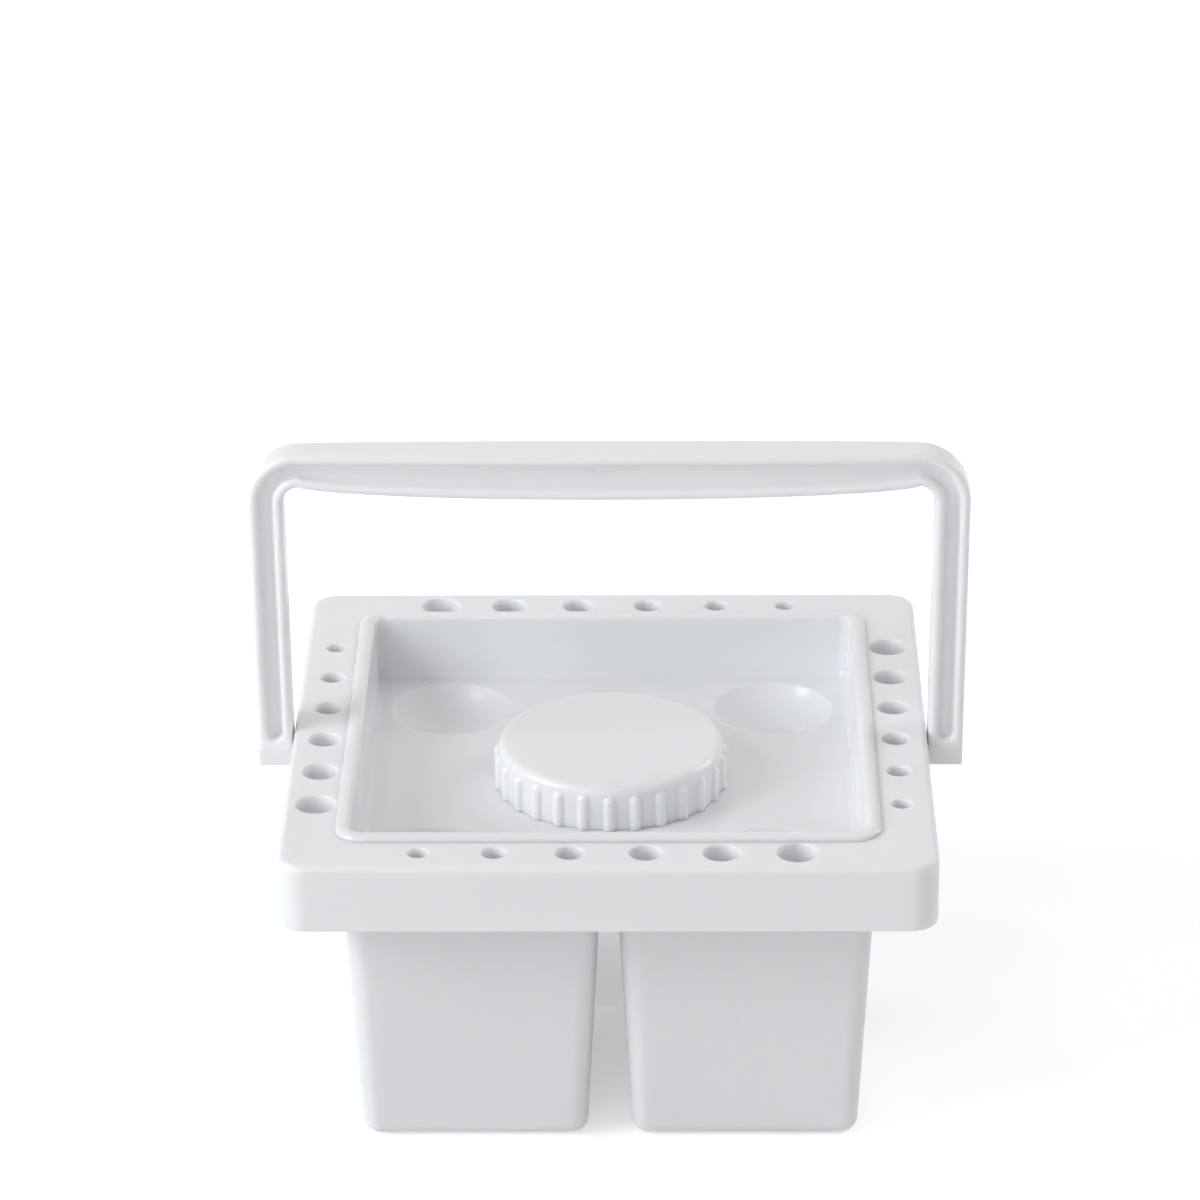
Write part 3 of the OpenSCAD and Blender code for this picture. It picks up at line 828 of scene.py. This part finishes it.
# %% The cap's shell and ribs
cap_radius, cap_foot, cap_top, cap_edge = 28.7, 69.05, 80.8, 2.2
rib_count, rib_radius, rib_rise, rib_fillet = 27, 1.7, 1, 0.12
cap_sides = rib_count * 32
cap_shoulder = cap_top - cap_edge
wall_rows = 28
cap_foot_round = 0.1
cap_wall_foot = cap_foot + cap_foot_round
cap_profile = (arc(cap_radius - cap_foot_round, cap_wall_foot, cap_foot_round, -90, 0, 3)
               + [(cap_radius, cap_wall_foot + (cap_shoulder - cap_wall_foot) * i / wall_rows)
                  for i in range(1, wall_rows)]
               + arc(cap_radius - cap_edge, cap_shoulder, cap_edge, 0, 90, 10))
cap = turn_body("cap_moulding", cap_profile, cap_sides)
use_tree(cap, ribs_tree(), {
    "Ribs": rib_count, "Wall Radius": cap_radius * MM, "Rib Radius": rib_radius * MM,
    "Rib Rise": rib_rise * MM, "Rib End Height": (cap_shoulder - rib_radius - 0.1) * MM,
    "Fillet": rib_fillet * MM, "Material": cap_plastic})
print(solid_facts(cap))

# %% The cap's inside
cap_bore, mouth_chamfer = 26.9, 0.4
cap_ceiling, ceiling_fillet = 78.8, 0.5
ridge_step = 1.65
cap_hollow = turn_body("cap_hollow", [
    (cap_bore + mouth_chamfer, cap_foot - 1), (cap_bore + mouth_chamfer, cap_foot),
    (cap_bore, cap_foot + mouth_chamfer)]
    + arc(cap_bore - ceiling_fillet, cap_ceiling - ceiling_fillet, ceiling_fillet, 0, 90, 4))
combine(cap, [cap_hollow], "DIFFERENCE")
combine(cap, [thread_ridge("cap_thread", cap_bore, -1, 36, 270, thread_start - ridge_step)],
        "UNION")
smooth_finish(cap)

# %% [markdown]
# ## The handle
#
# The handle is one bar, bent round two corners, with a groove along its front and its back, so
# that its section is an I with round rims. The bar swells towards the middle: it grows downwards
# and to the front and the back. Seen from the front, its outline and the outline of a groove are
# closed curves that follow one middle line. A section swept along that line would swell evenly
# all round, so the body is its outline, lofted from the back to the front with round edges, and
# each groove is a loft that is cut out of it. A groove's mouth opens like a trumpet, so the rims
# come out round, and its floor meets its walls in a cove.

# %% The handle's middle line
leg_axis, leg_lean, lean_start = 84.8, 0.6, 82
bend_radius, bar_height, swelling_power = 8.6, 156.1, 0.6
bar_end = leg_axis + leg_lean - bend_radius
handle_corner = bar_height - bend_radius
leg_steps, bend_steps, bar_steps = 24, 24, 32


def swelling(x):
    """The share of the bar's swelling at a distance along it, 0 at its ends and on the legs."""
    return max(0, 1 - (x / bar_end) ** 2) ** swelling_power


def leg_place(z):
    """Distance of a leg's middle line from the washer's middle, at height z."""
    return leg_axis + leg_lean * max(0, z - lean_start) / (handle_corner - lean_start)


def stations(low_end):
    """Points along the middle line, from one low end over the bar to the other, each with its
    direction outwards."""
    leg = [low_end + (handle_corner - low_end) * i / leg_steps for i in range(leg_steps)]
    line = [((-leg_place(z), z), (-1, 0)) for z in leg]
    for i in range(bend_steps + 1):
        a = math.radians(180 - 90 * i / bend_steps)
        line.append(((bend_radius * math.cos(a) - bar_end,
                      handle_corner + bend_radius * math.sin(a)), (math.cos(a), math.sin(a))))
    line += [((-bar_end * math.cos(math.pi / 2 * i / bar_steps), bar_height), (0, 1))
             for i in range(1, bar_steps)]
    mirrored = [((-x, z), (-ox, oz)) for (x, z), (ox, oz) in reversed(line)]
    return line + [((0, bar_height), (0, 1))] + mirrored


print("points along the middle line:", len(stations(brim_top)))

# %% Loops round the middle line
leg_half, handle_half = 4.4, 4.7
bar_belly, bar_swell = 3, 1.2


def follow(low_end, end_round, half, grow, deep, side):
    """A closed loop round the middle line. It stands half to each side, plus grow, and lies
    deep under the front face, or under the back face where side is 1. Its ends are rounded."""
    outer, inner = [], []
    radius = end_round + grow
    end_steps = 10
    foot = low_end - grow
    body = stations(low_end + end_round)
    feet = [radius * (1 - math.cos(math.pi / 2 * i / end_steps)) for i in range(end_steps)]
    for end, order in ((-1, feet), (1, feet[::-1])):
        tips = []
        for gone in order:
            pull = radius - math.sqrt(max(0, radius ** 2 - (radius - gone) ** 2))
            tips.append(((end * leg_place(foot + gone), foot + gone), (end, 0),
                         half + grow - pull))
        middle = [(place, out, half + grow) for place, out in body] if end < 0 else []
        for (x, z), (ox, oz), reach in tips + middle:
            share = swelling(x) if oz == 1 else 0
            y = side * (handle_half + bar_swell * share - deep)
            down = reach + bar_belly * share
            outer.append((x + ox * reach, y, z + oz * reach))
            inner.append((x - ox * down, y, z - oz * down))
    return outer + inner[::-1]


# %% The handle's body and its two grooves
foot_end, block_round, crest = 78.9, 1.35, 1.28
groove_end, groove_half, groove_depth, groove_cove = 82.5, 1.8, 3.2, 1.6
round_edge = [(x - crest, crest - y) for x, y in arc(0, 0, crest, 90, 0, 8)]
handle = loft("handle_moulding", [
    follow(foot_end, block_round, leg_half, grow, deep, side)
    for side, edge in ((1, round_edge), (-1, round_edge[::-1])) for grow, deep in edge],
    strips=True)
groove_edge = ([(x - groove_cove, groove_depth - groove_cove + y)
                for x, y in arc(0, 0, groove_cove, 90, 0, 8)]
               + [(crest + x, crest + y) for x, y in arc(0, 0, crest, 180, 270, 8)]
               + [(crest, -1)])
grooves = [loft("groove", [follow(groove_end, groove_half, groove_half, grow, deep, side)
                           for grow, deep in groove_edge], strips=True) for side in (-1, 1)]
print(solid_facts(handle), solid_facts(grooves[0]))
combine(handle, grooves, "DIFFERENCE")
print(solid_facts(handle))

# %% [markdown]
# ## The handle: feet, pins and ejector marks
#
# Under the block at each leg's end there is a round foot on the pivot's axis, which runs up into
# the block in a taper. The pin goes on from it through the skirt and ends in a snap head. In
# the bar's front groove two round ejector pins have left their marks, as low discs.

# %% The outline of a foot
hub_radius, foot_edge = 3.8, 0.4
taper_half, taper_top = 4.35, 79.8


def foot_section(grow):
    """The foot's outline from the side: a round underside whose flanks run up to the block."""
    radius, half = hub_radius + grow, taper_half + grow
    rise = taper_top - pivot_height
    flank = math.degrees(math.atan2(rise, half) - math.acos(radius / math.hypot(half, rise)))
    return ([(-half, taper_top + 1), (-half, taper_top)]
            + arc(0, pivot_height, radius, -180 - flank, flank, 24)
            + [(half, taper_top), (half, taper_top + 1)])


print("points in a foot's outline:", len(foot_section(0)))

# %% Feet, pins and marks
head_gap, head_thick, head_radius = 0.3, 1.2, 3.9
leg_inner = leg_axis - leg_half
mark_radius, mark_edge, mark_sunk, mark_rise = 1.75, 0.08, 0.5, 0.25


def foot_and_pin(side):
    """A pin, with its snap head behind the skirt's wall, and the foot that it stands on."""
    head = brim_half - skirt_wall - head_gap - head_thick
    pin = on_pivot("pin", side, [(pin_radius - 0.3, head), (pin_radius, head + 0.1),
                                 (head_radius, head + head_thick - 0.15),
                                 (head_radius, head + head_thick),
                                 (pin_radius, head + head_thick), (pin_radius, leg_inner + 1)])
    edges = (arc(-foot_edge, leg_inner + foot_edge, foot_edge, -90, 0, 4)
             + arc(-foot_edge, leg_inner + 2 * leg_half - foot_edge, foot_edge, 0, 90, 4))
    foot = loft("foot", [[(side * x, y, z) for y, z in foot_section(grow)] for grow, x in edges])
    return [pin, foot]


def ejector_mark(x):
    """A low disc on the floor of the front groove, in the middle of its width."""
    share = swelling(x)
    floor_depth = groove_depth - handle_half - bar_swell * share
    top = mark_sunk + mark_rise
    disc = turn_body("mark", [(mark_radius, 0), (mark_radius, top - 0.07),
                              (mark_radius - mark_edge, top)], 48)
    place = Vector((x, floor_depth + mark_sunk, bar_height - bar_belly / 2 * share)) * MM
    disc.data.transform(Matrix.Translation(place) @ Matrix.Rotation(math.pi / 2, 4, "X"))
    return disc


combine(handle, foot_and_pin(-1) + foot_and_pin(1) + [ejector_mark(-5), ejector_mark(76)],
        "UNION")
paint(handle, handle_plastic)
smooth_finish(handle)

# %% [markdown]
# ## Pieces and bodies
#
# Each moulding takes the place of its CAD part and rides on that part's body, so that it moves
# with it. The sealing disc is a plain disc cut from foam sheet, so its CAD part stays and only
# gets a finish.

# %% Ride, replace and paint
for piece, node, body in ((tub, "tub", "tub"), (palette, "palette_lid", "lid"),
                          (cap, "screw_cap", "cap"), (handle, "handle", "handle")):
    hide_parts(node)
    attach(piece, body)
    print(piece.name, "takes the place of", node, "on the body", body)
paint(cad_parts["cap_liner"], seal_foam)

# %% [markdown]
# ## Studio and camera
#
# The object stands on a pale floor in a white room. The large soft key lamp on the left makes
# the left edges bright and leaves the right ones darker. The fill lamp in front lifts the front
# walls, the back lamp on the right lifts the palette's left wall, and the small glint lamp
# leaves its highlights in the wells. The camera is a long lens that looks down by 24.4 degrees
# from the front.

# %% Floor
def seen_rays(tree):
    """1 for the rays that the camera sees, straight, in a reflection or through a surface."""
    path = add(tree, "ShaderNodeLightPath").outputs
    reflected = maths(tree, "MAXIMUM", path["Is Camera Ray"], path["Is Glossy Ray"])
    return maths(tree, "MAXIMUM", reflected, path["Is Transmission Ray"])


floor_half, floor_height = 6, -0.0002
floor_white = 0.84
glow_near, glow_far = 0.47, 1.0
glow_start, glow_end = 0.7, 1.3
floor_mesh = bpy.data.meshes.new("floor")
floor_mesh.from_pydata([(x * floor_half, y * floor_half, floor_height)
                        for x, y in ((-1, -1), (1, -1), (1, 1), (-1, 1))], [], [(0, 1, 2, 3)])
floor = show(floor_mesh, "floor")
floor_material = bpy.data.materials.new("Studio floor")
floor_material.use_nodes = True
tree = floor_material.node_tree
place = add(tree, "ShaderNodeTexCoord").outputs["Object"]
distance = add(tree, "ShaderNodeVectorMath", {0: place}, operation="LENGTH").outputs["Value"]
glow = add(tree, "ShaderNodeMapRange", {
    "Value": distance, "From Min": glow_start, "From Max": glow_end, "To Min": glow_near,
    "To Max": glow_far})
feed(tree, tree.nodes["Principled BSDF"], {
    "Base Color": (floor_white, floor_white, floor_white, 1), "Roughness": 0.9,
    "Specular IOR Level": 0, "Emission Color": (1, 1, 1, 1),
    "Emission Strength": maths(tree, "MULTIPLY", seen_rays(tree), glow.outputs[0])})
floor_mesh.materials.append(floor_material)
print(f"floor: {2 * floor_half} m wide")

# %% White room
room_light, room_white = 0.43, 1.0
world = bpy.data.worlds.new("white room")
bpy.context.scene.world = world
world.use_nodes = True
tree = world.node_tree
strength = add(tree, "ShaderNodeMapRange", {
    "Value": seen_rays(tree), "To Min": room_light, "To Max": room_white})
feed(tree, tree.nodes["Background"], {"Color": (1, 1, 1, 1), "Strength": strength.outputs[0]})
print(f"room: {room_light} as a light, {room_white} where it is seen")


# %% Lamps
aim = Vector((0, 0, 0.08))


def soft_lamp(name, place, size, watts, color):
    light = bpy.data.lights.new(name, "AREA")
    light.shape = "RECTANGLE"
    light.size, light.size_y = size
    light.energy = watts
    light.color = color
    lamp = bpy.data.objects.new(name, light)
    bpy.context.scene.collection.objects.link(lamp)
    lamp.location = place
    lamp.rotation_euler = (aim - Vector(place)).to_track_quat("-Z", "Y").to_euler()
    print(f"{name}: {watts} W")


soft_lamp("key", (-1.63, -0.59, 1.08), (1.1, 1.1), 21.5, (0.97, 0.985, 1.0))
soft_lamp("fill", (-0.75, -1.95, 0.8), (1.2, 0.6), 6, (0.98, 0.99, 1.0))
soft_lamp("back", (1.5, 0.86, 1.08), (0.8, 0.8), 8.5, (1.0, 1.0, 0.99))
soft_lamp("glint", (-0.66, 0.65, 1.74), (0.14, 0.4), 1.4, (1.0, 1.0, 1.0))

# %% Camera
focal_pixels, picture_pixels, sensor = 5267.8, 1200, 36
camera_place = (0.0138, -1.204, 0.6647)
pitch, yaw, roll = math.radians(24.37), math.radians(-0.77), math.radians(0.41)
ahead = Vector((math.sin(yaw) * math.cos(pitch), math.cos(yaw) * math.cos(pitch),
                -math.sin(pitch)))
level_right = Vector((math.cos(yaw), -math.sin(yaw), 0))
level_down = ahead.cross(level_right)
right = math.cos(roll) * level_right + math.sin(roll) * level_down
down = -math.sin(roll) * level_right + math.cos(roll) * level_down
camera_data = bpy.data.cameras.new("camera")
camera_data.lens = focal_pixels / picture_pixels * sensor
camera_data.sensor_width = sensor
camera_data.sensor_fit = "HORIZONTAL"
camera = bpy.data.objects.new("camera", camera_data)
bpy.context.scene.collection.objects.link(camera)
axes = Matrix((right, -down, -ahead)).transposed().to_4x4()
camera.matrix_world = Matrix.Translation(camera_place) @ axes
bpy.context.scene.camera = camera
bpy.context.scene.view_settings.view_transform = "Standard"
print(f"camera: {camera_data.lens:.1f} mm lens on a {sensor} mm sensor")
